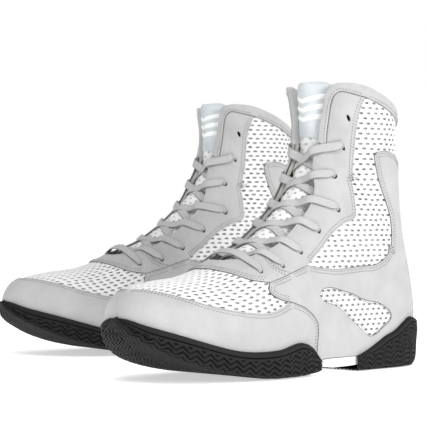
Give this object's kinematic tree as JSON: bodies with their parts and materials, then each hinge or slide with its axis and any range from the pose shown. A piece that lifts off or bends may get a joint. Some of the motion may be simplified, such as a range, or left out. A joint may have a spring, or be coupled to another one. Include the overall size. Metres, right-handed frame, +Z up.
{
  "type": "boxing boots, pair",
  "caption": "Pair of high-top lace-up boxing boots with suede overlays, open mesh panels, a padded tongue and separate black rubber forefoot and heel soles.",
  "frame": {"origin": "middle of the pair's bounding box, on the floor under the soles", "axes": "+X towards the toes, +Y towards the left boot, +Z up"},
  "size_m": [0.3817, 0.3678, 0.2162],
  "materials": {
    "suede": "fine light grey nap suede",
    "mesh": "white open sandwich mesh",
    "binding": "light grey woven tape",
    "knit": "beige-grey brushed knit lining",
    "satin": "pale blue-grey satin weave",
    "rubber": "matt black moulded rubber",
    "foam": "light grey EVA foam",
    "board": "stiff fibreboard",
    "lace": "flat light grey woven lace"
  },
  "bodies": {
    "left_boot": {"left_collar_binding": "binding", "left_collar_foam": "foam", "left_eyestay_facing_lateral": "knit", "left_eyestay_facing_medial": "knit", "left_eyestay_lateral": "suede", "left_eyestay_medial": "suede", "left_heel_counter": "board", "left_insole_board": "board", "left_lace": "lace", "left_midsole": "foam", "left_outsole_forefoot": "rubber", "left_outsole_heel": "rubber", "left_quarter_lining_lateral": "knit", "left_quarter_lining_medial": "knit", "left_shaft_mesh_lateral": "mesh", "left_shaft_mesh_medial": "mesh", "left_side_overlay_lateral": "suede", "left_side_overlay_medial": "suede", "left_side_window_lateral": "mesh", "left_side_window_medial": "mesh", "left_sockliner": "knit", "left_throat_tab": "suede", "left_toe_cap": "suede", "left_toe_puff": "board", "left_tongue": "mesh", "left_vamp_lining": "knit", "left_vamp_mesh": "mesh"},
    "left_tongue_top": {"left_tongue_top": "satin"},
    "right_boot": {"right_collar_binding": "binding", "right_collar_foam": "foam", "right_eyestay_facing_lateral": "knit", "right_eyestay_facing_medial": "knit", "right_eyestay_lateral": "suede", "right_eyestay_medial": "suede", "right_heel_counter": "board", "right_insole_board": "board", "right_lace": "lace", "right_midsole": "foam", "right_outsole_forefoot": "rubber", "right_outsole_heel": "rubber", "right_quarter_lining_lateral": "knit", "right_quarter_lining_medial": "knit", "right_shaft_mesh_lateral": "mesh", "right_shaft_mesh_medial": "mesh", "right_side_overlay_lateral": "suede", "right_side_overlay_medial": "suede", "right_side_window_lateral": "mesh", "right_side_window_medial": "mesh", "right_sockliner": "knit", "right_throat_tab": "suede", "right_toe_cap": "suede", "right_toe_puff": "board", "right_tongue": "mesh", "right_vamp_lining": "knit", "right_vamp_mesh": "mesh"},
    "right_tongue_top": {"right_tongue_top": "satin"}
  },
  "joints": [
    {"name": "right_boot_lift", "type": "slide", "parent": "left_boot", "child": "right_boot", "axis": [0, 0, 1], "range_m": [0, 0.3]},
    {"name": "left_tongue_fold", "type": "hinge", "parent": "left_boot", "child": "left_tongue_top", "pos_m": [-0.01084, 0.117, 0.17405], "axis": [-0.0958, 0.9954, 0], "range_deg": [-25, 2], "stiffness_Nm_per_rad": 0.15},
    {"name": "right_tongue_fold", "type": "hinge", "parent": "right_boot", "child": "right_tongue_top", "pos_m": [-0.09084, -0.117, 0.17405], "axis": [0.0958, 0.9954, 0], "range_deg": [-25, 2], "stiffness_Nm_per_rad": 0.15}
  ]
}
